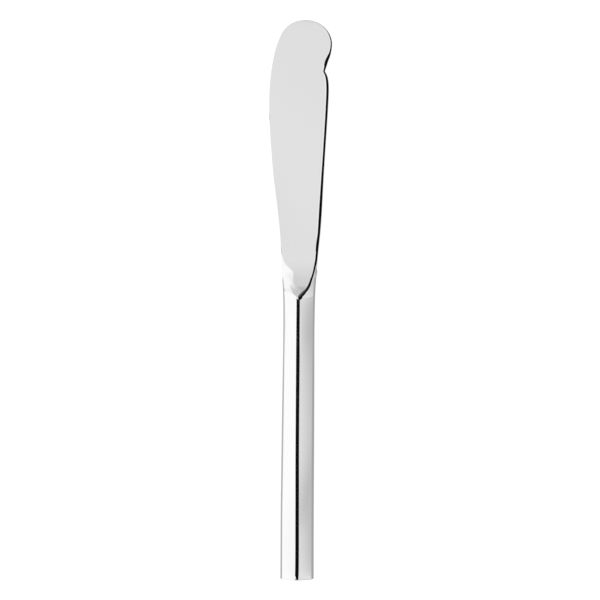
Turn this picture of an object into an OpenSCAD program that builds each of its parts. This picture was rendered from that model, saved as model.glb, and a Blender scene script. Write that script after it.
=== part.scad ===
// Butter knife with a forged blade and a hollow handle pressed from two shells.
// It lies on the flat back of its handle: +Y runs from the butt to the tip, +Z up.
// All sizes are in millimetres.

/* [Whole knife] */
// Length over all, from the butt to the tip
knife_l = 170.2; // [155:0.2:190]
// Length of the handle, from the butt to the foot of the shoulder
handle_l = 83.8; // [76:0.2:92]
// Length of the shoulder, where the arris crosses over to the spine
shoulder_l = 14; // [10:0.5:20]

/* [Handle] */
// Width of the handle at the butt
butt_w = 10.42; // [9.6:0.02:12]
// Width of the handle half way from the butt to the waist
middle_w = 10.24; // [9.4:0.02:11.6]
// Width of the handle at its waist
waist_w = 9.66; // [8.6:0.02:10.6]
// Distance from the butt to the waist
waist_y = 76; // [66:1:80]
// Width of the handle at the foot of the shoulder
neck_w = 9.8; // [9:0.02:11]
// Height of the two side corners above the rest
side_h = 2.2; // [1.6:0.1:2.8]
// Slope of the two top faces, in degrees
face_slope = 42; // [38:1:50]
// Radius of the arris along the top
arris_r = 0.65; // [0.4:0.05:1.4]
// Radius of the two side corners
side_r = 0.4; // [0.2:0.05:1.2]
// Radius of the edge round the butt
butt_r = 0.45; // [0.2:0.05:0.8]

/* [Shells, cap and filler] */
// Wall of the two shells
wall_t = 0.9; // [0.6:0.05:1.2]
// Thickness of the plate of the butt cap
cap_t = 1.4; // [1:0.1:2.5]
// Length of the plug behind that plate
plug_l = 4; // [2:0.5:8]
// Clearance round the plug and the spigot in the shells
fit_gap = 0.05; // [0.02:0.01:0.12]
// Length of the collar between the shells and the foot of the shoulder
collar_l = 3; // [1:0.5:6]
// Length of the spigot inside the shells
spigot_l = 6; // [3:0.5:10]
// Length of the tang behind the spigot
tang_l = 40; // [20:1:50]
// Radius of the tang where it leaves the spigot
tang_r = 1.6; // [1.2:0.05:1.8]
// Radius of the tang at its end
tang_end_r = 1.2; // [0.8:0.05:1.6]

/* [Blade] */
// Farthest reach of the cutting edge from the middle of the handle
edge_reach = 9.42; // [8.5:0.01:12]
// Farthest reach of the spine below the notch
spine_reach = 8.76; // [8:0.01:10.5]
// Reach of the spine at the bottom of the notch
notch_reach = 7.44; // [6.6:0.01:8]
// Distance of the notch below the centre of the round tip
notch_back = 7; // [6.2:0.05:7.8]
// Radius of the round tip
tip_r = 8.42; // [7.8:0.02:9]
// Offset of the centre of the round tip from the middle of the handle
tip_x = 1.46; // [0.8:0.02:2]
// Thickness of the spine at the shoulder
spine_t = 1.5; // [1:0.05:2]
// Thickness of the spine at the notch
notch_t = 1.25; // [0.8:0.05:1.6]
// Thickness at the tip
tip_t = 0.55; // [0.4:0.05:0.9]
// Thickness of the blunt edge at the shoulder
heel_t = 1; // [0.6:0.05:1.4]
// Thickness of the edge in front of the belly
edge_t = 0.4; // [0.3:0.02:0.6]
// Radius of the corners of the spine
spine_r = 0.6; // [0.2:0.05:0.8]
// Radius of the soft corner between the blade's face and the shoulder
ramp_r = 3; // [1:0.25:5]

/* [Hidden] */

// Share of the way to the tip at which the edge is down to its thickness
thin_share = 0.4;
// Share of the way to the waist at which the middle width is given
middle_share = 0.53;
// Share of the way to the notch at which the spine begins to roll over
roll_share = 0.86;

// Places along the knife
joint_y = handle_l - collar_l;
spigot_y = joint_y - spigot_l;
plug_y = cap_t + plug_l;
heel_y = handle_l + shoulder_l;
tip_y = knife_l - tip_r;
notch_y = tip_y - notch_back;
run_l = tip_y - handle_l;
roll_y = mix(heel_y, notch_y, roll_share);
// The round tip takes over from the cutting edge and from the spine at these angles
edge_join_a = 162;
edge_guide_a = 150;
spine_join_a = -24;
last_tip_a = 86;
edge_join_y = tip_y + tip_r * sin(edge_join_a);
spine_join_y = tip_y + tip_r * sin(spine_join_a);
// The frame's X origin lies half way across the whole outline
origin_x = (tip_x + tip_r - edge_reach) / 2;

// Cutting edge from the shoulder to the tip: share of the way, share of the reach
edge_shares = [
    [0.05, 0.035], [0.1, 0.078], [0.155, 0.115], [0.22, 0.18], [0.285, 0.265],
    [0.36, 0.38], [0.44, 0.54], [0.515, 0.695], [0.59, 0.82], [0.67, 0.922],
    [0.735, 0.98], [0.79, 1], [0.85, 0.967], [0.915, 0.855], [0.965, 0.7], [1, 0.56]
];
// Spine from the shoulder to the top of the notch, in the same shares
spine_shares = [
    [0.045, 0.03], [0.097, 0.085], [0.155, 0.16], [0.215, 0.27], [0.28, 0.4],
    [0.35, 0.5], [0.43, 0.585], [0.515, 0.67], [0.6, 0.765], [0.69, 0.87], [0.775, 0.96],
    [0.835, 1], [0.87, 0.965], [0.893, 0.86]
];
// Share by which the arris has crossed over to the spine, along the shoulder
arris_shares = [
    [0, 0], [0.12, 0.06], [0.21, 0.28], [0.32, 0.555], [0.43, 0.725], [0.57, 0.855],
    [0.72, 0.94], [0.86, 0.985], [1, 1]
];
// Share by which the blade's face has opened towards the cutting edge
face_shares = [
    [0, 0], [0.2, 0.2], [0.5, 0.4], [0.75, 0.55], [0.9, 0.72], [1.05, 0.93], [1.35, 1]
];

// Number of flats round each corner, and rings along each stretch
corner_steps = 4;
shoulder_steps = 20;
body_steps = 14;
roll_steps = 8;
nose_steps = 4;
tip_steps = 14;
grip_steps = 12;
butt_steps = 4;
// Smallest radius that an inner corner keeps
least_r = 0.4;
// What a side corner moves in by when its two faces move in by 1; the lower one is at 45 degrees
corner_rate = (sqrt(2) + 1 / cos(face_slope)) / (1 + tan(face_slope));
// What the rounding takes from the point of a side corner, in radii
round_loss = corner_rate - 1;
// Half of the distance between the two corners that the arris is rounded from, in radii
arris_share = tan(face_slope / 2);

function mix(a, b, share) = a + (b - a) * share;
function limited(share) = min(max(share, 0), 1);
function eased(share) = let (s = limited(share)) s * s * (3 - 2 * s);

// Smooth curve through a list of [place, value] points
function stretch_of(points, y, i = 0) =
    (i >= len(points) - 2 || y < points[i + 1][0]) ? i : stretch_of(points, y, i + 1);
function slope_at(points, i) =
    let (a = points[max(i - 1, 0)], b = points[min(i + 1, len(points) - 1)])
    (b[1] - a[1]) / (b[0] - a[0]);
function curve(points, y) =
    let (
        i = stretch_of(points, y),
        span = points[i + 1][0] - points[i][0],
        s = limited((y - points[i][0]) / span)
    )
    mix(points[i][1], points[i + 1][1], s * s * (3 - 2 * s))
    + span * slope_at(points, i) * s * (1 - s) * (1 - s)
    - span * slope_at(points, i + 1) * s * s * (1 - s);

// Outline: reach to the left and to the right of the middle of the handle
grip_points = [
    [0, butt_w / 2], [middle_share * waist_y, middle_w / 2], [waist_y, waist_w / 2],
    [handle_l, neck_w / 2]
];
function blade_points(shares, reach) =
    [for (s = shares) [handle_l + s[0] * run_l, mix(neck_w / 2, reach, s[1])]];
function tip_point(a, side) = [tip_y + tip_r * sin(a), side * tip_x + tip_r * abs(cos(a))];
edge_points = concat(
    grip_points, blade_points(edge_shares, edge_reach),
    [tip_point(edge_join_a, -1), tip_point(edge_guide_a, -1)]
);
spine_points = concat(
    grip_points, blade_points(spine_shares, spine_reach), [[notch_y, notch_reach]]
);
nose_points = [[notch_y, notch_reach], tip_point(spine_join_a, 1)];
function tip_reach(y) = tip_r * cos(asin(limited(abs(y - tip_y) / tip_r)));
function left_reach(y) = y < edge_join_y ? curve(edge_points, y) : tip_reach(y) - tip_x;
function right_reach(y) =
    y < notch_y ? curve(spine_points, y)
    : y < spine_join_y ? curve(nose_points, y) : tip_reach(y) + tip_x;

// Half thicknesses of the blade along its two sides
spine_half_points = [
    [heel_y, spine_t / 2], [notch_y, notch_t / 2], [tip_y, mix(notch_t, tip_t, 0.3) / 2],
    [knife_l, tip_t / 2]
];
edge_half_points = [
    [heel_y, heel_t / 2], [handle_l + thin_share * run_l, edge_t / 2], [knife_l, edge_t / 2]
];

// One corner of a section, rounded, as points from its first to its last normal
function turned(v) = [-v[1], v[0]];
function corner(before, at, after, r, first = 0) =
    let (
        d = (at - before) / norm(at - before),
        e = (after - at) / norm(after - at),
        turn = atan2(cross(d, e), d * e),
        back = min(r * tan(turn / 2), norm(at - before) / 2, norm(after - at) / 2),
        used_r = back / tan(turn / 2),
        middle = at - d * back + turned(d) * used_r,
        start = atan2(-d[0], d[1])
    )
    [for (k = [first:corner_steps])
        let (a = start + turn * k / corner_steps) middle + used_r * [cos(a), sin(a)]];

// A section from its six corners: right, top right, top left, left, and the two of the back
function section(c, r) = concat(
    corner(c[5], c[0], c[1], r[0]),
    corner(c[0], c[1], c[2], r[1]),
    corner(c[1], c[2], c[3], r[2], 1),
    corner(c[2], c[3], c[4], r[3]),
    [c[4], c[5]]
);
// Stretches a section sideways to the outline that its rounded corners fall short of
function fitted(points, from, to) =
    let (low = min([for (p = points) p[0]]), high = max([for (p = points) p[0]]))
    [for (p = points) [mix(from, to, (p[0] - low) / (high - low)), p[1]]];
function at_y(points, y) = [for (p = points) [p[0], y, p[1]]];

// Section of the handle, with every face moved in by an inset
function grip_ring(y, inset = 0) =
    let (
        whole_w = curve(edge_points, y) + round_loss * side_r,
        half_w = whole_w - inset * corner_rate,
        corner_z = side_h + inset * (sqrt(2) - corner_rate),
        top_r = max(arris_r - inset, least_r),
        corner_r = max(side_r - inset, least_r),
        top_x = arris_share * top_r,
        top_z = corner_z + (half_w - top_x) * tan(face_slope),
        foot_x = whole_w - side_h - inset * (sqrt(2) - 1)
    )
    at_y(
        section(
            [[half_w, corner_z], [top_x, top_z], [-top_x, top_z], [-half_w, corner_z],
             [-foot_x, inset], [foot_x, inset]],
            [corner_r, top_r, top_r, corner_r]
        ), y
    );

// Section of the shoulder and the blade
function blade_ring(y) =
    let (
        way = (y - handle_l) / shoulder_l,
        over = limited(curve(arris_shares, way)),
        open = limited(curve(face_shares, way)),
        sunk = eased(way),
        right_x = right_reach(y),
        left_x = left_reach(y),
        spine_half = curve(spine_half_points, y),
        edge_half = min(curve(edge_half_points, y), spine_half),
        grip_half = min(left_x, right_x) + round_loss * side_r,
        top_x = arris_share * arris_r,
        top_z = side_h + (grip_half - top_x) * tan(face_slope),
        face_z = mix(top_z, side_h + spine_half, over),
        heel_z = mix(top_z, side_h + edge_half, over),
        left_r = mix(side_r, edge_half / 2, sunk),
        edge_x = -left_x - round_loss * left_r,
        bevel_x = edge_half - left_x,
        foot_x = grip_half - side_h,
        spine_x = right_x + round_loss * side_r * (1 - sunk),
        spine_z = side_h - spine_half * sunk,
        back_x = mix(-foot_x, bevel_x, sunk),
        back_z = (side_h - edge_half) * sunk,
        mid_x = mix(foot_x, mix(bevel_x, right_x, 0.5), sunk),
        mid_z = (side_h - mix(edge_half, spine_half, 0.5)) * sunk
    )
    at_y(
        fitted(
            section(
                [[spine_x, spine_z], [mix(top_x, right_x, over), face_z],
                 [mix(-top_x, bevel_x, open), heel_z], [edge_x, side_h],
                 [back_x, back_z], [mid_x, mid_z]],
                [mix(side_r, spine_r, sunk), mix(arris_r, spine_r, over),
                 mix(mix(arris_r, ramp_r, limited(2 * way)), edge_half, limited(way - 0.5)),
                 left_r]
            ), -left_x, right_x
        ), y
    );

// The upper and the lower half of a handle ring, split at the side corners
half_steps = corner_steps / 2;
left_corner = 3 * corner_steps + 2;
function upper(ring) = [for (k = [half_steps:left_corner + half_steps]) ring[k]];
function lower(ring) = [for (k = [0:corner_steps + 2])
    ring[(left_corner + half_steps + k) % len(ring)]];
function reversed(points) = [for (k = [len(points) - 1:-1:0]) points[k]];

// Evenly spaced places, without the last one
function places(from, to, steps) = [for (k = [0:steps - 1]) mix(from, to, k / steps)];
cavity_ys = concat(places(plug_y, spigot_y, grip_steps), [spigot_y]);
shell_ys = concat([cap_t], cavity_ys, [joint_y]);
blade_ys = concat(
    places(joint_y, handle_l, 2),
    places(handle_l, heel_y, shoulder_steps),
    places(heel_y, roll_y, body_steps),
    places(roll_y, notch_y, roll_steps),
    places(notch_y, spine_join_y, nose_steps),
    [for (k = [0:tip_steps])
        tip_y + tip_r * sin(mix(spine_join_a, last_tip_a, k / tip_steps))]
);

// Solid through a list of rings that have the same number of points. A shell's ring runs
// out along its outer face and back along its inner face, so its ends are strips.
function end_faces(n, shell) = shell
    ? [for (k = [0:n / 2 - 2]) [k, k + 1, n - 2 - k, n - 1 - k]]
    : [[for (k = [0:n - 1]) k]];
module loft(rings, shell = false) {
    n = len(rings[0]);
    last = len(rings) - 1;
    polyhedron(
        points = [for (ring = rings) for (p = ring) p],
        faces = concat(
            [for (f = end_faces(n, shell)) reversed(f)],
            [for (j = [0:last - 1], k = [0:n - 1])
                [j * n + k, j * n + (k + 1) % n, (j + 1) * n + (k + 1) % n]],
            [for (j = [0:last - 1], k = [0:n - 1])
                [j * n + k, (j + 1) * n + (k + 1) % n, (j + 1) * n + k]],
            [for (f = end_faces(n, shell)) [for (k = f) last * n + k]]
        ),
        convexity = 6
    );
}

// Moves the knife so that its frame is in the middle of its outline
module placed() {
    translate([-origin_x, -knife_l / 2, 0]) children();
}

// The tang is a tapered rod, as far from the bottom of the handle's cavity as from its roof
roof_h = side_h + (waist_w / 2 + round_loss * side_r) * tan(face_slope) - wall_t / cos(face_slope);
tang_h = (wall_t + roof_h * cos(face_slope)) / (1 + cos(face_slope));
module tang() {
    translate([0, spigot_y - tang_l, tang_h])
        rotate([-90, 0, 0])
            cylinder(h = tang_l, r1 = tang_end_r, r2 = tang_r, $fn = 48);
}

// Forged blade with its shoulder, collar, spigot and tang
module blade() {
    color("gainsboro") placed() union() {
        loft(concat(
            [for (y = [spigot_y, joint_y]) grip_ring(y, wall_t + fit_gap)],
            [for (y = blade_ys) blade_ring(y)]
        ));
        tang();
    }
}

// Shells of the handle, pressed, and joined along the side corners
module handle_top_shell() {
    color("silver") placed() loft([for (y = shell_ys)
        concat(upper(grip_ring(y)), reversed(upper(grip_ring(y, wall_t))))], shell = true);
}

module handle_bottom_shell() {
    color("darkgray") placed() loft([for (y = shell_ys)
        concat(lower(grip_ring(y)), reversed(lower(grip_ring(y, wall_t))))], shell = true);
}

// Cap that closes the butt, with a rounded rim and a plug in the shells
module butt_cap() {
    color("lightgray") placed() loft(concat(
        [for (k = [0:butt_steps])
            let (a = 90 * k / butt_steps)
            grip_ring(butt_r * (1 - cos(a)), butt_r * (1 - sin(a)))],
        [grip_ring(cap_t)],
        [for (y = [cap_t, plug_y]) grip_ring(y, wall_t + fit_gap)]
    ));
}

// Hard filler that holds the tang in the handle
module tang_filler() {
    color("tan") placed() difference() {
        loft([for (y = cavity_ys) grip_ring(y, wall_t)]);
        tang();
    }
}

blade();
handle_top_shell();
handle_bottom_shell();
butt_cap();
tang_filler();
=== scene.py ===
"""A butter knife of polished steel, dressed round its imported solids.

The handle is a hollow one with an arris along its top: two shells, a butt cap and a filler.
The blade is one piece with its shoulder, collar, spigot and tang. Each outer surface is a smooth
height above or below the side corners of the handle, so reflections run over it unbroken.
"""
import math

import bmesh
import bpy
from mathutils import Matrix, Vector


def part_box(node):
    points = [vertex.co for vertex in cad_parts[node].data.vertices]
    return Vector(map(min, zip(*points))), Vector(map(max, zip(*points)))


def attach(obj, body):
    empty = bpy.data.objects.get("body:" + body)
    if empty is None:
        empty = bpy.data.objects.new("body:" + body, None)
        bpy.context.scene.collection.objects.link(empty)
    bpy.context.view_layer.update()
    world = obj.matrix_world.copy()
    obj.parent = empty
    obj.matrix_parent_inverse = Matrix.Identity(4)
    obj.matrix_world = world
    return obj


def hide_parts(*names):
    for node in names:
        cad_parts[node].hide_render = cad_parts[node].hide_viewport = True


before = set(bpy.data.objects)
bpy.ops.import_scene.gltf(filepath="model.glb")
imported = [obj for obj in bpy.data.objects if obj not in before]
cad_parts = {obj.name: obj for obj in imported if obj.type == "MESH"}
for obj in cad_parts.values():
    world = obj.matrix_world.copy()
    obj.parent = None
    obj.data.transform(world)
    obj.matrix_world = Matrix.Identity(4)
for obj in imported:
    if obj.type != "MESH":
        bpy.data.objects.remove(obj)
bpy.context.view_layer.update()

# Sizes in millimetres, from the butt at y = 0 and from the middle of the handle at x = 0
KNIFE_L = 170.2
HANDLE_L = 83.8
COLLAR_L = 3.0
SPIGOT_L = 6.0
TANG_L = 40.0
TANG_END_R = 1.2
TANG_R = 1.6
TANG_H = 2.85
HEEL_Y = 97.8
SIDE_H = 2.2
WALL_T = 0.9
CAP_T = 1.4
PLUG_L = 4.0
FIT_GAP = 0.05
SPIGOT_OVERLAP = 0.5
PLUG_OVERLAP = 0.4
BUTT_R = 0.35
TIP_R = 8.42
TIP_X = 1.46
NOTCH_BACK = 7.0
EDGE_REACH = 9.52
SPINE_REACH = 8.7
NOTCH_REACH = 7.46
NECK_HALF = 4.88
JOINT_Y = HANDLE_L - COLLAR_L
SPIGOT_Y = JOINT_Y - SPIGOT_L
TIP_Y = KNIFE_L - TIP_R
NOTCH_Y = TIP_Y - NOTCH_BACK
RUN_L = TIP_Y - HANDLE_L

# One millimetre of this script in the frame, and where its origin is in the frame
_, blade_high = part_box("blade")
cap_low, cap_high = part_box("butt_cap")
MM = (blade_high.y - cap_low.y) / KNIFE_L
ORIGIN = Vector(((cap_low.x + cap_high.x) / 2, cap_low.y, cap_low.z))

# Reach of the handle to the left and to the right of the middle, along y
GRIP_LEFT = [(0, 5.17), (10, 5.2), (22, 5.22), (37, 5.12), (52, 5.02), (66, 4.88), (76, 4.82),
             (HANDLE_L, 4.86)]
GRIP_RIGHT = [(0, 5.11), (22, 5.0), (44, 4.96), (66, 4.88), (76, 4.82), (HANDLE_L, NECK_HALF)]
# Cutting edge and spine from the shoulder to the tip: share of the way, share of the reach
EDGE_SHARES = [
    (0.05, 0.025), (0.1, 0.06), (0.155, 0.108), (0.22, 0.18), (0.285, 0.255), (0.36, 0.385),
    (0.44, 0.56), (0.515, 0.716), (0.59, 0.825), (0.67, 0.93), (0.735, 0.982), (0.79, 1),
    (0.85, 0.972), (0.915, 0.866), (0.965, 0.72), (1, 0.58),
]
SPINE_SHARES = [
    (0.045, 0.022), (0.097, 0.085), (0.127, 0.165), (0.155, 0.19), (0.215, 0.29), (0.28, 0.42),
    (0.35, 0.515), (0.43, 0.59), (0.515, 0.67), (0.6, 0.765), (0.69, 0.87), (0.775, 0.96),
    (0.835, 1), (0.87, 0.965), (0.893, 0.86),
]
# Rounding of the tip: angle from the spine's side, share of the radius. The notch is where
# it starts. The cutting edge's curve is guided by it and joins it, and the mesh ends at its top
NOTCH_A = -49.4
LAST_TIP_A = 88.6
EDGE_GUIDE_A = 150
EDGE_JOIN_A = 162
TIP_SHARES = [
    (NOTCH_A, 1.095), (-40, 1.01), (-29, 0.952), (-11, 0.944), (-2, 0.952), (7, 0.97),
    (15, 0.988), (24, 1), (33, 1.008), (43, 1.014), (55, 1.014), (90, 1.004), (110, 1.01),
    (125, 1.016), (150, 1.01), (180, 1.01),
]

# From here on a curve is a list of places along y, each with the value there.
# Where the arris is: it hooks to the left at the butt
ARRIS_X = [(0, -0.26), (1, -0.15), (2.4, -0.05), (4, -0.01), (10, 0), (22, -0.09), (40, -0.27),
           (60, -0.32), (HANDLE_L, -0.33), (86, -0.33), (89, -0.12), (93, 0.12), (98, 0.2)]
# The roof of the handle: how high its faces meet above the side corners, and how much steeper
# than on average they are at the side
ROOF_H = 4.25
CROWN = 0.022
# The steepest strip, next to the side corners: rise over run, width and softness
STRIP_RISE = 0.98
STRIP_W = [(0, 0.72), (44, 0.72), (76, 0.6)]
STRIP_SOFT = 0.004
# Start of every face over the side corners, and the softness of the back's corners
START_RISE = 6
SIDE_LIFT = 0.04
SIDE_SOFT = 0.08
BACK_SOFT = 0.35
# Places where the arris crosses the ramp, and the ramp's height over the blade's face after it
RAMP_Y = 85.6
RIDGE_CROSSINGS = [
    (86.1, -0.1), (86.5, 0.22), (87, 0.68), (87.8, 1.5), (88.7, 2.32), (89.6, 2.9),
    (90.5, 3.26), (91.4, 3.56),
]
RAMP_TAIL = [(92.6, 0.46), (93.8, 0.3), (95, 0.175), (96.2, 0.092), (97.4, 0.045), (98.6, 0.021),
             (100.5, 0.006), (103, 0.001), (106, 0)]
# Rise over run of the left face along the shoulder, and the length over which it takes over
LEFT_RISE = [
    (RAMP_Y, 0.93), (86.6, 0.925), (87.4, 0.86), (88.5, 0.7), (89.9, 0.47), (91.1, 0.36),
    (92.1, 0.265), (93.6, 0.16), (94.8, 0.14), (96, 0.145), (97.2, 0.155), (98.4, 0.17),
    (101, 0.2),
]
LEFT_BLEND_L = 2
# Height of the crease over the cutting edge, and rise of the bevel below it
CREASE_H = [(RAMP_Y, 0.6), (88, 0.58), (91, 0.4), (93, 0.31), (99, 0.2), (101, 0.19), (108, 0.168),
            (118, 0.145), (130, 0.125), (KNIFE_L, 0.13)]
BEVEL_RISE = [(RAMP_Y, 0.98), (91, 0.976), (93, 0.94), (96, 0.87), (137, 0.855), (142, 0.71),
              (KNIFE_L, 0.7)]
# Tilt of the flat of the blade, from the crease up to the spine
FACE_TILT = [(RAMP_Y, 0.055), (98, 0.055), (108, 0.05), (125, 0.036), (145, 0.027), (155, 0.024),
             (162, 0.022), (KNIFE_L, 0.02)]
# Softness of the corner between the ramp and the left face, and its faint wide rounding
LEFT_SOFT = [
    (RAMP_Y, 0.1), (86.1, 0.14), (86.6, 0.32), (87.5, 0.5), (88.5, 0.44), (89.9, 0.29),
    (91.1, 0.21), (92.1, 0.15), (93.6, 0.07), (94.8, 0.05), (96, 0.045), (97.2, 0.03),
    (98.6, 0.02), (101, 0.015),
]
LEAST_SOFT = 1e-4
WIDE_SOFT = 4.0
WIDE_SHARE = 0.28
WIDE_BLEND_L = 2.2
# Softness of the arris
ARRIS_SOFT = [
    (0, 0.86), (30, 0.88), (48, 0.885), (62, 0.925), (76, 0.965), (84, 0.9), (RAMP_Y, 0.86),
    (86.2, 0.7), (86.6, 0.71), (87.1, 0.77), (88, 0.72), (88.8, 0.59), (89.5, 0.51), (91, 0.4),
    (92, 0.37), (93, 0.32), (95, 0.28), (99, 0.2),
]
# How wide the spine is rounded, and how far from the notch its corner spreads
SPINE_ROLL = [
    (92, 0.8), (96, 1.35), (98, 1.5), (100, 1.57), (104, 1.62), (108, 1.78), (112, 1.95),
    (118, 1.68), (127, 1.38), (140, 1.42), (151, 1.52), (153.6, 1.2), (NOTCH_Y, 0.95),
    (155.5, 1.2), (156.6, 1.6), (158.5, 1.35), (160.5, 1.0), (TIP_Y, 0.85), (165, 0.6),
    (168, 0.3), (KNIFE_L, 0.25),
]
ROLL_POWER = 2.4
FAN_L = 3
# The spine's rounding takes over from the right face of the shoulder
SPINE_FROM_Y = 94.0
SPINE_TO_Y = 98.4
# Round the tip the bevel takes over from the spine between these angles
BEVEL_FROM_A = 60
BEVEL_TO_A = 120


def mix(a, b, share):
    return a + (b - a) * share


def limited(share):
    return min(max(share, 0.0), 1.0)


def eased(share):
    s = limited(share)
    return s * s * (3 - 2 * s)


def curve(points, y):
    """Smooth curve through (place, value) points, level beyond its ends."""
    i = 0
    while i < len(points) - 2 and y >= points[i + 1][0]:
        i += 1

    def slope(k):
        a, b = points[max(k - 1, 0)], points[min(k + 1, len(points) - 1)]
        return (b[1] - a[1]) / (b[0] - a[0])

    span = points[i + 1][0] - points[i][0]
    s = limited((y - points[i][0]) / span)
    return (mix(points[i][1], points[i + 1][1], s * s * (3 - 2 * s))
            + span * slope(i) * s * (1 - s) ** 2 - span * slope(i + 1) * s * s * (1 - s))


def lower_of(a, b, soft):
    """The lower of two heights, with the corner between them rounded."""
    near = max(soft - abs(a - b), 0) / soft
    return min(a, b) - near * near * soft / 4


def tip_radius(angle):
    return TIP_R * curve(TIP_SHARES, angle)


def tip_point(angle):
    a = math.radians(angle)
    radius = tip_radius(angle)
    return TIP_Y + radius * math.sin(a), TIP_X + radius * math.cos(a)


def tip_reach(y, low, high):
    """Place across the knife where the rounding of the tip is at y, between two angles."""
    rising = tip_point(low)[0] < tip_point(high)[0]
    halvings = 40
    for _ in range(halvings):
        middle = (low + high) / 2
        if (tip_point(middle)[0] < y) == rising:
            low = middle
        else:
            high = middle
    return tip_point(low)[1]


def blade_points(shares, reach):
    return [(HANDLE_L + s * RUN_L, mix(NECK_HALF, reach, v)) for s, v in shares]


EDGE_POINTS = (GRIP_LEFT + blade_points(EDGE_SHARES, EDGE_REACH)
               + [(y, -x) for y, x in (tip_point(EDGE_JOIN_A), tip_point(EDGE_GUIDE_A))])
SPINE_POINTS = GRIP_RIGHT + blade_points(SPINE_SHARES, SPINE_REACH) + [(NOTCH_Y, NOTCH_REACH)]
EDGE_JOIN_Y = tip_point(EDGE_JOIN_A)[0]


def left_reach(y):
    return curve(EDGE_POINTS, y) if y < EDGE_JOIN_Y else -tip_reach(y, 90, EDGE_JOIN_A)


def right_reach(y):
    return curve(SPINE_POINTS, y) if y < NOTCH_Y else tip_reach(y, NOTCH_A, 90)


def slope_of(reach, y):
    step = 0.02
    return (reach(y + step) - reach(y - step)) / (2 * step)


class Row:
    """What the surfaces need to know about one place along the knife."""

    def __init__(self, y):
        self.y = y
        self.left = left_reach(y)
        self.right = right_reach(y)
        self.wide = self.left + self.right
        self.left_step = math.hypot(1, slope_of(left_reach, y))
        self.right_slope = slope_of(right_reach, y)
        self.right_step = math.hypot(1, self.right_slope)
        self.arris = curve(ARRIS_X, y)
        self.strip = curve(STRIP_W, y)
        self.crease_h = curve(CREASE_H, y)
        self.bevel = curve(BEVEL_RISE, y)
        self.crease_t = (self.crease_h - SIDE_LIFT) / self.bevel
        self.rise = curve(LEFT_RISE, y)
        self.tilt = curve(FACE_TILT, y)
        self.roll = curve(SPINE_ROLL, y)

    def from_edge(self, x):
        """Distance from the cutting edge or from the left side corner."""
        if self.y > EDGE_JOIN_Y:
            return self.from_tip(x)
        return max(x + self.left, 0) / self.left_step

    def from_spine(self, x):
        """Distance from the spine, or from the notch's corner next to the notch."""
        if self.y > TIP_Y:
            return self.from_tip(x)
        inward, along = x - NOTCH_REACH, self.y - NOTCH_Y
        if abs(along) < FAN_L and (inward * self.right_slope + along) * along <= 0:
            return math.hypot(inward, along)
        return max(self.right - x, 0) / self.right_step

    def from_tip(self, x):
        """Distance inside the rounding of the tip."""
        angle = self.angle(x)
        return max(tip_radius(angle) - math.hypot(x - TIP_X, self.y - TIP_Y), 0)

    def angle(self, x):
        """Angle round the tip's middle, from the spine's side."""
        return math.degrees(math.atan2(self.y - TIP_Y, x - TIP_X))


def side_corner(t, height):
    """Height next to a side corner, where every face starts a little round."""
    return max(lower_of(START_RISE * t, height + SIDE_LIFT, SIDE_SOFT), 0)


def roof_face(t, run, strip):
    """Height of a top face of the handle, at a distance from its side corner."""
    foot, top = ROOF_H / run + CROWN, ROOF_H / run - CROWN
    crowned = foot * t - (foot - top) * t * t / (2 * run) + (STRIP_RISE - foot) * strip
    return side_corner(t, lower_of(STRIP_RISE * t, crowned, STRIP_SOFT))


def blade_face(x, row):
    """Height of the flat of the blade."""
    return row.crease_h + row.tilt * (x + row.left - row.crease_t * row.left_step)


def left_face(t, row):
    """The left face of the shoulder, with the bevel of the cutting edge below its crease."""
    if t < row.crease_t:
        return side_corner(t, row.bevel * t)
    return row.crease_h + row.rise * (t - row.crease_t)


def spine_share(t, row):
    """Share of the face's height that the rounded spine has at a distance inside it."""
    u = limited(t / row.roll)
    return (1 - (1 - u) ** ROLL_POWER) ** (1 / ROLL_POWER)


def soft_corner(left, face, y, ramp):
    """The corner between the ramp and the left face: narrow, with a faint wide rounding."""
    soft = max(min(curve(LEFT_SOFT, y), ramp / WIDE_SOFT), LEAST_SOFT)
    share = WIDE_SHARE * eased((y - RAMP_Y) / WIDE_BLEND_L)
    return mix(lower_of(left, face, soft), lower_of(left, face, WIDE_SOFT * soft), share)


def tip_blend(face, spine, bevelled, x, row):
    """Height round the tip, from the rounded spine to the bevel of the cutting edge."""
    share = eased((row.angle(x) - BEVEL_FROM_A) / (BEVEL_TO_A - BEVEL_FROM_A))
    return mix(face * spine, bevelled, share)


def crossing_height(y, x):
    """Height of the ramp over the blade's face that makes the arris cross it at x."""
    row = Row(y)
    return roof_face(row.right - x, row.right - row.arris, row.strip) - blade_face(x, row)


def ramp_curve():
    """Heights of the ramp over the blade's face, from its start to its end."""
    crossings = [(y, crossing_height(y, x)) for y, x in RIDGE_CROSSINGS]
    (first_y, first_h), (next_y, next_h) = crossings[:2]
    start_h = first_h + (next_h - first_h) / (next_y - first_y) * (RAMP_Y - first_y)
    return [(RAMP_Y, start_h)] + crossings + RAMP_TAIL


RAMP_POINTS = ramp_curve()


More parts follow.
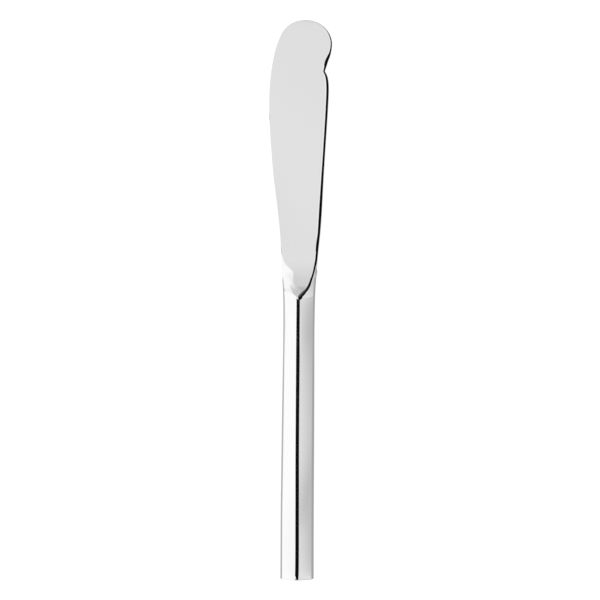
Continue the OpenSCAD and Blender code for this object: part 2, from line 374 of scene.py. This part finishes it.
def top_height(x, row):
    """Height of the upper surface above the side corners."""
    y = row.y
    right_roof = roof_face(max(row.right - x, 0), row.right - row.arris, row.strip)
    left_roof = roof_face(max(x + row.left, 0), row.left + row.arris, row.strip)
    if y <= RAMP_Y:
        return lower_of(left_roof, right_roof, curve(ARRIS_SOFT, y))
    t_left, ramp = row.from_edge(x), curve(RAMP_POINTS, y)
    left = mix(left_roof, left_face(t_left, row), eased((y - RAMP_Y) / LEFT_BLEND_L))
    face, spine = blade_face(x, row) + ramp, spine_share(row.from_spine(x), row)
    if y > TIP_Y:
        return tip_blend(face, spine, min(left_face(t_left, row), face), x, row)
    cut = left if t_left < row.crease_t else soft_corner(left, face, y, ramp)
    if y >= SPINE_TO_Y:
        return cut * spine
    ridged = lower_of(right_roof, cut, curve(ARRIS_SOFT, y))
    return mix(ridged, cut * spine, eased((y - SPINE_FROM_Y) / (SPINE_TO_Y - SPINE_FROM_Y)))


def back_depth(x, row):
    """Depth of the lower surface below the side corners."""
    y = row.y
    t = max(min(row.right - x, x + row.left), 0)
    grip = min(side_corner(t, t), lower_of(t + SIDE_LIFT, SIDE_H, BACK_SOFT))
    sunk = eased((y - HANDLE_L) / (HEEL_Y - HANDLE_L))
    if sunk <= 0:
        return grip
    face, spine = blade_face(x, row), spine_share(row.from_spine(x), row)
    t_left = row.from_edge(x)
    bevelled = min(side_corner(t_left, row.bevel * t_left), face)
    bladed = bevelled * spine
    if y > TIP_Y:
        bladed = tip_blend(face, spine, bevelled, x, row)
    return mix(grip, bladed, sunk)


# Lines that the mesh follows on the shoulder: the arris and the soft corner at its left
RIDGE_SHIFT = 0.15
RIDGE_X = ([(RAMP_Y, -0.27)] + [(y, x + RIDGE_SHIFT) for y, x in RIDGE_CROSSINGS]
           + [(93.9, 4.45), (96.6, 4.9), (98.8, 5.0), (104, 4.6)])
SOFT_X = [
    (RAMP_Y, -1.2), (87, -1.25), (88.5, -1.75), (89.9, -2.05), (91.1, -2.3), (92.1, -2.5),
    (93.6, -2.75), (94.8, -3.1), (96, -3.6), (97.2, -4.1), (98.4, -4.4), (104, -4),
]
# Half the width of the bands of mesh that cover them, on the handle and at the heel
RIDGE_HALF = 0.62
SOFT_HALF = (0.4, 0.85)
SOFT_GROWS_L = 3
SOFT_FROM_ARRIS = 1.3
# Past the shoulder these bands settle into shares of the blade's width
SETTLE_FROM_Y = 98
SETTLE_L = 8
RIDGE_SHARE = 0.34
SOFT_SHARE = 0.3
HALF_SHARE = 0.08
# The band at the spine's rim, on the handle and on the blade, and limits for it and the crease
RIM_W = (0.9, 1.9)
RIM_FROM_Y = 88
RIM_GROWS_L = 8
RIM_LIMIT_SHARE = 0.16
CREASE_LIMIT_SHARE = 0.2
# Room that neighbouring bands leave, and how two that would overlap are squeezed
RIM_ROOM = 1.05
BAND_ROOM = 1.02
CREASE_ROOM = 0.05
SQUEEZED_HALF = 0.45
SQUEEZED_ROOM = 1.1
# Steps in each band from right to left. They crowd together at the spine and at the crease
SECTION_STEPS = (24, 5, 14, 7, 14, 14, 8)
SPINE_BAND = 0
CREASE_BAND = 5
CROWDING = 1.6


def section_stops(row):
    """Where the bands of the mesh meet, from right to left."""
    y, left, right, wide = row.y, -row.left, row.right, row.wide
    rim = min(mix(*RIM_W, eased((y - RIM_FROM_Y) / RIM_GROWS_L)), RIM_LIMIT_SHARE * wide)
    crease = left + min(row.crease_t * row.left_step, CREASE_LIMIT_SHARE * wide)
    settle = eased((y - SETTLE_FROM_Y) / SETTLE_L)
    ridge = row.arris if y <= RAMP_Y else curve(RIDGE_X, y)
    ridge = mix(ridge, right - RIDGE_SHARE * wide, settle)
    ridge_half = mix(RIDGE_HALF, HALF_SHARE * wide, settle)
    soft = row.arris - SOFT_FROM_ARRIS if y <= RAMP_Y else curve(SOFT_X, y)
    soft = mix(soft, left + SOFT_SHARE * wide, settle)
    soft_half = mix(*SOFT_HALF, eased((y - RAMP_Y) / SOFT_GROWS_L))
    soft_half = mix(soft_half, HALF_SHARE * wide, settle)
    ridge = min(ridge, right - RIM_ROOM * rim - ridge_half)
    soft = min(soft, ridge - BAND_ROOM * (ridge_half + soft_half))
    if soft - soft_half < crease + CREASE_ROOM:
        soft_half = SQUEEZED_HALF * (ridge - ridge_half - crease)
        soft = crease + SQUEEZED_ROOM * soft_half
    return [right, right - rim, ridge + ridge_half, ridge - ridge_half, soft + soft_half,
            soft - soft_half, crease, left]


def section_places(row):
    """Places across the knife from right to left, closest where it turns."""
    stops = section_stops(row)
    places = [row.right]
    for k, count in enumerate(SECTION_STEPS):
        for i in range(1, count + 1):
            share = i / count
            if k == SPINE_BAND:
                share = share ** CROWDING
            if k == CREASE_BAND:
                share = 1 - (1 - share) ** CROWDING
            places.append(mix(stops[k], stops[k + 1], share))
    return places


def top_line(y):
    row = Row(y)
    xs = section_places(row)
    inner = [(x, y, SIDE_H + top_height(x, row)) for x in xs[1:-1]]
    return [(xs[0], y, SIDE_H)] + inner + [(xs[-1], y, SIDE_H)]


def back_line(y):
    """The lower surface, from left to right, without the side corners."""
    row = Row(y)
    return [(x, y, SIDE_H - back_depth(x, row)) for x in reversed(section_places(row)[1:-1])]


def whole_section(y):
    return top_line(y) + back_line(y)


# Inside of the handle: how much narrower it is than the wall alone says, and its own roof
INNER_SIDE_SHARE = 1.36
INNER_RISE = 0.86
INNER_ARRIS_SOFT = 0.6
INNER_BACK_SOFT = 0.3
INNER_STEPS = 24


def inner_half(y, inset, upward):
    """Upper or lower half of a section inside the handle, from left to right."""
    half_w = min(left_reach(y), right_reach(y)) - INNER_SIDE_SHARE * inset
    line = []
    for i in range(INNER_STEPS + 1):
        x = mix(-half_w, half_w, i / INNER_STEPS)
        if upward:
            left_h, right_h = INNER_RISE * (half_w + x), INNER_RISE * (half_w - x)
            height = max(lower_of(left_h, right_h, INNER_ARRIS_SOFT), 0)
        else:
            height = min(-lower_of(half_w - abs(x), SIDE_H - inset, INNER_BACK_SOFT), 0)
        line.append((x, y, SIDE_H + height))
    return line


def steps_between(start, end, count):
    return [mix(start, end, i / count) for i in range(count)]


def placed(point):
    return ORIGIN + Vector(point) * MM


def loft(bm, rings):
    """Closed skin through rings of points: the first ring's edges are extruded along them."""
    count = len(rings[0])

    def ring_edges(ring):
        return [bm.edges.get((ring[k], ring[(k + 1) % count])) for k in range(count)]

    ring = bmesh.ops.create_circle(bm, segments=count, radius=1)["verts"]
    for vert, point in zip(ring, rings[0]):
        vert.co = placed(point)
    edges = ring_edges(ring)
    bmesh.ops.contextual_create(bm, geom=edges)
    for points in rings[1:]:
        made = bmesh.ops.extrude_edge_only(bm, edges=edges)["geom"]
        fresh = {v for v in made if isinstance(v, bmesh.types.BMVert)}
        ring = [next(e.other_vert(v) for e in v.link_edges if e.other_vert(v) in fresh)
                for v in ring]
        for vert, point in zip(ring, points):
            vert.co = placed(point)
        edges = ring_edges(ring)
    bmesh.ops.contextual_create(bm, geom=edges)


# Edges that turn by more than this stay sharp
SHARP_A = math.radians(30)


def finished(name, bm, slot, material, *nodes):
    """Turns a bmesh into a smooth piece that stands for its CAD nodes."""
    bmesh.ops.recalc_face_normals(bm, faces=bm.faces)
    for face in bm.faces:
        face.smooth = True
    for edge in bm.edges:
        edge.smooth = edge.calc_face_angle(0) < SHARP_A
    mesh = bpy.data.meshes.new(name)
    bm.to_mesh(mesh)
    bm.free()
    mesh.materials.append(material)
    piece = bpy.data.objects.new(name, mesh)
    bpy.context.scene.collection.objects.link(piece)
    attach(piece, "root")
    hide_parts(*nodes)


def node_of(tree, kind, **inputs):
    """Adds a node. Its inputs go by the socket's name, or by at0, at1 and so on."""
    node = tree.nodes.new(kind)
    for key, value in inputs.items():
        place = int(key[2:]) if key.startswith("at") else key
        set_input(tree, node, place, value)
    return node


def set_input(tree, node, key, value):
    """Links another node's output to a socket, or sets the socket to a plain value."""
    if isinstance(value, bpy.types.NodeSocket):
        tree.links.new(value, node.inputs[key])
    else:
        node.inputs[key].default_value = value


def maths(tree, operation, *values):
    node = tree.nodes.new("ShaderNodeMath")
    node.operation = operation
    for k, value in enumerate(values):
        set_input(tree, node, k, value)
    return node.outputs[0]


def ranged(tree, value, low, high, out_low=0.0, out_high=1.0, smooth=False):
    node = tree.nodes.new("ShaderNodeMapRange")
    node.interpolation_type = "SMOOTHSTEP" if smooth else "LINEAR"
    for key, number in zip(("Value", "From Min", "From Max", "To Min", "To Max"),
                           (value, low, high, out_low, out_high)):
        set_input(tree, node, key, number)
    return node.outputs[0]


# A noise hardly goes below the first of these values or above the second one
NOISE_RANGE = (0.3, 0.7)
# Spots in the polish: how many a metre holds, and their share next to the polishing lines
CLOUDS = 90.0
CLOUD_SHARE = 0.3


def polished_steel(name, base, roughness, grain, line_depth):
    """Steel with fine polishing lines. Grain is how many a metre holds along x, y and z."""
    material = bpy.data.materials.new(name)
    material.use_nodes = True
    tree = material.node_tree
    shader = tree.nodes["Principled BSDF"]
    shader.inputs["Base Color"].default_value = (base, base, base, 1)
    shader.inputs["Metallic"].default_value = 1
    place = tree.nodes.new("ShaderNodeTexCoord")
    stretch = node_of(tree, "ShaderNodeMapping", Vector=place.outputs["Object"], Scale=grain)
    lines = node_of(tree, "ShaderNodeTexNoise", Vector=stretch.outputs[0], Scale=1.0, Detail=4.0)
    clouds = node_of(tree, "ShaderNodeTexNoise", Vector=place.outputs["Object"], Scale=CLOUDS,
                     Detail=2.0)
    both = maths(tree, "ADD", maths(tree, "MULTIPLY", lines.outputs[0], 1 - CLOUD_SHARE),
                 maths(tree, "MULTIPLY", clouds.outputs[0], CLOUD_SHARE))
    dullness = ranged(tree, both, *NOISE_RANGE, *roughness)
    tree.links.new(dullness, shader.inputs["Roughness"])
    bump = node_of(tree, "ShaderNodeBump", Height=lines.outputs[0], Strength=1.0,
                   Distance=line_depth)
    tree.links.new(bump.outputs[0], shader.inputs["Normal"])
    return material


# Cement: how many grains a metre holds, their depth, the two tints and the roughness
CEMENT_GRAINS = 1500.0
GRAIN_DEPTH = 0.0002
GRAIN_STRENGTH = 0.6
CEMENT_TINTS = ((0.4, 0.35, 0.28, 1), (0.62, 0.56, 0.47, 1))
CEMENT_ROUGHNESS = 0.85


def hard_cement(name):
    """Cement with fine grains of two tints."""
    material = bpy.data.materials.new(name)
    material.use_nodes = True
    tree = material.node_tree
    shader = tree.nodes["Principled BSDF"]
    spot = tree.nodes.new("ShaderNodeTexCoord")
    grains = node_of(tree, "ShaderNodeTexNoise", Vector=spot.outputs["Object"],
                     Scale=CEMENT_GRAINS, Detail=5.0)
    tint = tree.nodes.new("ShaderNodeValToRGB")
    for element, place, colour in zip(tint.color_ramp.elements, NOISE_RANGE, CEMENT_TINTS):
        element.position = place
        element.color = colour
    tree.links.new(grains.outputs[0], tint.inputs[0])
    tree.links.new(tint.outputs[0], shader.inputs["Base Color"])
    shader.inputs["Roughness"].default_value = CEMENT_ROUGHNESS
    bump = node_of(tree, "ShaderNodeBump", Height=grains.outputs[0], Strength=GRAIN_STRENGTH,
                   Distance=GRAIN_DEPTH)
    tree.links.new(bump.outputs[0], shader.inputs["Normal"])
    return material


# Least and most roughness of the polished steel
POLISH = (0.02, 0.045)
handle_steel = polished_steel("handle_steel", 0.87, POLISH, (2600, 30, 2600), 1e-7)
blade_steel = polished_steel("blade_steel", 0.86, POLISH, (1500, 24, 1500), 2e-7)
filler_cement = hard_cement("filler_cement")


def add_plug(bm, start, end):
    """A plug that fits inside the shells' walls, between two places along the handle."""
    inset = WALL_T + FIT_GAP
    loft(bm, [inner_half(y, inset, True)[::-1] + inner_half(y, inset, False)[1:-1]
              for y in (start, end)])


# Sections of the blade: how many there are up to each place, round the tip and round the tang
HEEL_END_Y = 101
ROLL_SHARE = 0.86
ROLL_Y = mix(HEEL_Y, NOTCH_Y, ROLL_SHARE)
COLLAR_SECTIONS = 6
SHOULDER_SECTIONS = 86
BLADE_SECTIONS = 60
NOTCH_SECTIONS = 24
TIP_SECTIONS = 100
TANG_SEGMENTS = 48


def make_blade():
    """The blade with its shoulder and collar, its spigot and its tang."""
    bm = bmesh.new()
    tip_angles = steps_between(NOTCH_A, LAST_TIP_A, TIP_SECTIONS) + [LAST_TIP_A]
    places = (steps_between(JOINT_Y, HANDLE_L, COLLAR_SECTIONS)
              + steps_between(HANDLE_L, HEEL_END_Y, SHOULDER_SECTIONS)
              + steps_between(HEEL_END_Y, ROLL_Y, BLADE_SECTIONS)
              + steps_between(ROLL_Y, NOTCH_Y, NOTCH_SECTIONS)
              + [tip_point(a)[0] for a in tip_angles])
    loft(bm, [whole_section(y) for y in places])
    add_plug(bm, SPIGOT_Y, JOINT_Y + SPIGOT_OVERLAP)
    tang = bmesh.ops.create_cone(bm, cap_ends=True, segments=TANG_SEGMENTS,
                                 radius1=TANG_END_R * MM, radius2=TANG_R * MM,
                                 depth=TANG_L * MM)["verts"]
    bmesh.ops.rotate(bm, verts=tang, matrix=Matrix.Rotation(math.radians(-90), 3, "X"))
    bmesh.ops.translate(bm, verts=tang, vec=placed((0, SPIGOT_Y - TANG_L / 2, TANG_H)))
    finished("blade_forged", bm, "blade_steel", blade_steel, "blade")


SHELL_SECTIONS = 100


def make_shell(name, upward, node):
    """One shell of the handle, with its wall."""
    bm = bmesh.new()
    rings = []
    for y in steps_between(CAP_T, JOINT_Y, SHELL_SECTIONS) + [JOINT_Y]:
        if upward:
            rings.append(top_line(y) + inner_half(y, WALL_T, True))
        else:
            left, right = -left_reach(y), right_reach(y)
            rings.append([(left, y, SIDE_H)] + back_line(y) + [(right, y, SIDE_H)]
                         + inner_half(y, WALL_T, False)[::-1])
    loft(bm, rings)
    finished(name, bm, "handle_steel", handle_steel, node)


# The fillet's sections shrink towards this height
CAP_MIDDLE_H = SIDE_H + 0.9
FILLET_STEPS = 8
CAP_STEPS = 6


def make_butt_cap():
    """The end plate with a small fillet round its face, and its plug."""
    bm = bmesh.new()
    rings = []
    for i in range(FILLET_STEPS):
        a = math.radians(90 * i / FILLET_STEPS)
        y, inset = BUTT_R * (1 - math.cos(a)), BUTT_R * (1 - math.sin(a))
        ring = whole_section(y)
        share = 1 - inset / ring[0][0]
        rings.append([(x * share, y, CAP_MIDDLE_H + (z - CAP_MIDDLE_H) * share)
                      for x, y, z in ring])
    rings += [whole_section(y) for y in steps_between(BUTT_R, CAP_T, CAP_STEPS) + [CAP_T]]
    loft(bm, rings)
    add_plug(bm, CAP_T - PLUG_OVERLAP, CAP_T + PLUG_L)
    finished("butt_cap_pressed", bm, "handle_steel", handle_steel, "butt_cap")


make_blade()
make_shell("top_shell_pressed", True, "handle_top_shell")
make_shell("bottom_shell_pressed", False, "handle_bottom_shell")
make_butt_cap()
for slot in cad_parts["tang_filler"].material_slots:
    slot.material = filler_cement


# The floor in metres, its grey for the light on it, and how bright it is seen
FLOOR_HALF = 1.5
FLOOR_DROP = 2e-5
FLOOR_GREY = 0.22
FLOOR_GLOW = 0.93


def plain_floor():
    """A pale floor just under the knife."""
    bm = bmesh.new()
    bmesh.ops.create_grid(bm, x_segments=1, y_segments=1, size=FLOOR_HALF)
    bmesh.ops.translate(bm, verts=bm.verts, vec=(0, 0, -FLOOR_DROP))
    mesh = bpy.data.meshes.new("floor")
    bm.to_mesh(mesh)
    bm.free()
    floor = bpy.data.objects.new("floor", mesh)
    bpy.context.scene.collection.objects.link(floor)
    paper = bpy.data.materials.new("pale_paper")
    paper.use_nodes = True
    tree = paper.node_tree
    tree.nodes.clear()
    diffuse = node_of(tree, "ShaderNodeBsdfDiffuse",
                      Color=(FLOOR_GREY, FLOOR_GREY, FLOOR_GREY, 1))
    shown = maths(tree, "MULTIPLY", seen_directly(tree), FLOOR_GLOW)
    glow = node_of(tree, "ShaderNodeEmission", Strength=shown)
    both = node_of(tree, "ShaderNodeAddShader", at0=diffuse.outputs[0], at1=glow.outputs[0])
    end = tree.nodes.new("ShaderNodeOutputMaterial")
    tree.links.new(both.outputs[0], end.inputs["Surface"])
    mesh.materials.append(paper)


def seen_directly(tree):
    """1 for what the camera, a mirror or glass shows, and 0 for the light on things."""
    path = tree.nodes.new("ShaderNodeLightPath")
    mirrored = maths(tree, "MAXIMUM", path.outputs["Is Glossy Ray"],
                     path.outputs["Is Transmission Ray"])
    return maths(tree, "MAXIMUM", path.outputs["Is Camera Ray"], mirrored)


# The studio: angles are in degrees on an arc from the left over the top to the right, and
# places along the knife are the y of a direction, below 0 towards the butt.
# Brightness along the arc: a box of light is over the blade and its left side, and the right
# side gets darker low down
STUDIO_PEAK = 1.25
STUDIO_ARC = [
    (-90, 0.52), (-88.45, 0.52), (-88.15, 1.12), (-80.3, 1.12), (-78.5, 1.07), (-74, 1.05),
    (-72.5, 1.01), (-67, 1.01), (-64, 1.08), (-13.5, 1.12), (-9.5, 0.84), (-6.3, 0.86),
    (-5, 0.875), (-3.4, 0.875), (-2.4, 0.85), (0.5, 0.85), (3.5, 1.0), (9, 1.03), (20, 1.03),
    (60, 0.9), (76.6, 0.86), (77.75, 0.775), (78.5, 0.7), (79.25, 0.61), (80, 0.54),
    (84, 0.52), (86, 0.5), (86.6, 0.42), (90, 0.42),
]
# Each change along the knife or along the arc is a start, an end, and the values there.
# Towards the butt the lamps on the right hang askew by some degrees, from these angles on
LAMP_SKEW = (-0.0855, -0.081, -1.8, 0)
SKEW_FROM = (50, 70)
# How the light fades along the knife, overhead in two steps and beside it in one, and the
# angles between which overhead turns into beside
OVERHEAD_FADES = ((0.03, 0.45, 1, 0.84), (0.6, 0.95, 1, 0.68))
BESIDE_FADE = (0.3, 0.7, 1, 0.62)
BESIDE_A = (20, 45)
# Two dark cards, each between angles on the arc and between places along the knife, with the
# lean of its far edge. One hangs at the right of the box, the other one over the handle. Each
# edge runs from a place outside the card to one inside
SIDE_CARD = ((10, 13), (76.6, 75.8), (-0.62, -0.35), (0.64, 0.5), 0.0143)
END_CARD = ((-76.2, -75.2), (20, 19), (-0.22, -0.14), (-0.0485, -0.0508), 0.0)
LEAN_FROM_A = 70
# Their light, which gets stronger far along the knife
CARD_FADE = (0.3, 0.75, 0.004, 0.11)


def arc_light(tree, angle, stops):
    """The light on the arc, as a share of its peak."""
    ramp = tree.nodes.new("ShaderNodeValToRGB")
    elements = ramp.color_ramp.elements
    while len(elements) < len(stops):
        elements.new(0.5)
    for element, (place, light) in zip(elements, stops):
        element.position = (place + 90) / 180
        level = light / STUDIO_PEAK
        element.color = (level, level, level, 1)
    tree.links.new(ranged(tree, angle, -90, 90), ramp.inputs[0])
    return ramp.outputs[0]


def card(tree, angle, y, edges):
    """1 on a dark card and 0 beside it."""
    left, right, near, far, lean = edges
    shift = maths(tree, "MULTIPLY", maths(tree, "SUBTRACT", angle, LEAN_FROM_A), lean)
    leaning = maths(tree, "ADD", y, shift)
    across = maths(tree, "MULTIPLY", ranged(tree, angle, *left), ranged(tree, angle, *right))
    along = maths(tree, "MULTIPLY", ranged(tree, y, *near, smooth=True),
                  ranged(tree, leaning, *far, smooth=True))
    return maths(tree, "MULTIPLY", across, along)


def mixed(tree, share, first, second):
    """Mixes two colours: this node has the share at socket 0 and the colours at 6 and 7."""
    node = tree.nodes.new("ShaderNodeMix")
    node.data_type = "RGBA"
    for place, value in ((0, share), (6, first), (7, second)):
        tree.links.new(value, node.inputs[place])
    return node.outputs[2]


def studio():
    """Light that depends on its direction only, and white where the camera sees past the floor."""
    world = bpy.data.worlds.new("studio")
    bpy.context.scene.world = world
    world.use_nodes = True
    tree = world.node_tree
    tree.nodes.clear()
    place = tree.nodes.new("ShaderNodeTexCoord")
    parts = node_of(tree, "ShaderNodeSeparateXYZ", Vector=place.outputs["Generated"])
    x, y, z = parts.outputs
    angle = maths(tree, "DEGREES", maths(tree, "ARCTAN2", x, z))
    skew = maths(tree, "MULTIPLY", ranged(tree, y, *LAMP_SKEW), ranged(tree, angle, *SKEW_FROM))
    arc = arc_light(tree, maths(tree, "ADD", angle, skew), STUDIO_ARC)
    away = maths(tree, "ABSOLUTE", y)
    near, far = (ranged(tree, away, *fade) for fade in OVERHEAD_FADES)
    overhead = maths(tree, "MULTIPLY", near, far)
    beside = ranged(tree, away, *BESIDE_FADE)
    sideways = ranged(tree, maths(tree, "ABSOLUTE", angle), *BESIDE_A, smooth=True)
    dimming = ranged(tree, sideways, 0, 1, overhead, beside)
    cards = maths(tree, "MAXIMUM", card(tree, angle, y, SIDE_CARD), card(tree, angle, y, END_CARD))
    seen = mixed(tree, cards, arc, ranged(tree, away, *CARD_FADE))
    strength = maths(tree, "MULTIPLY", dimming, STUDIO_PEAK)
    light = node_of(tree, "ShaderNodeBackground", Color=seen, Strength=strength)
    white = node_of(tree, "ShaderNodeBackground", Color=(1, 1, 1, 1), Strength=1.0)
    path = tree.nodes.new("ShaderNodeLightPath")
    chosen = node_of(tree, "ShaderNodeMixShader", at0=path.outputs["Is Camera Ray"],
                     at1=light.outputs[0], at2=white.outputs[0])
    end = tree.nodes.new("ShaderNodeOutputWorld")
    tree.links.new(chosen.outputs[0], end.inputs["Surface"])


# The camera's height and its place along the knife, which tilt its view a little, the place in
# the middle of the picture, half the width there, and the picture's small turn
CAMERA_UP = 1800
CAMERA_Y = 179
PICTURE_MIDDLE = (0.31, 85.3, 3.0)
HALF_PICTURE = 90.98
LEAN = 0.0072
SENSOR_W = 36


def set_camera():
    data = bpy.data.cameras.new("camera")
    camera = bpy.data.objects.new("camera", data)
    bpy.context.scene.collection.objects.link(camera)
    bpy.context.scene.camera = camera
    eye = placed((PICTURE_MIDDLE[0], CAMERA_Y, CAMERA_UP))
    back = (eye - placed(PICTURE_MIDDLE)).normalized()
    up = Vector((-LEAN, 1, 0))
    right = up.cross(back).normalized()
    up = back.cross(right)
    camera.matrix_world = Matrix.Translation(eye) @ Matrix((right, up, back)).transposed().to_4x4()
    data.sensor_width = SENSOR_W
    data.lens = SENSOR_W / 2 * (CAMERA_UP - PICTURE_MIDDLE[2]) / HALF_PICTURE
    data.clip_start = 0.01
    data.clip_end = 10


plain_floor()
studio()
set_camera()
bpy.context.scene.view_settings.view_transform = "Standard"
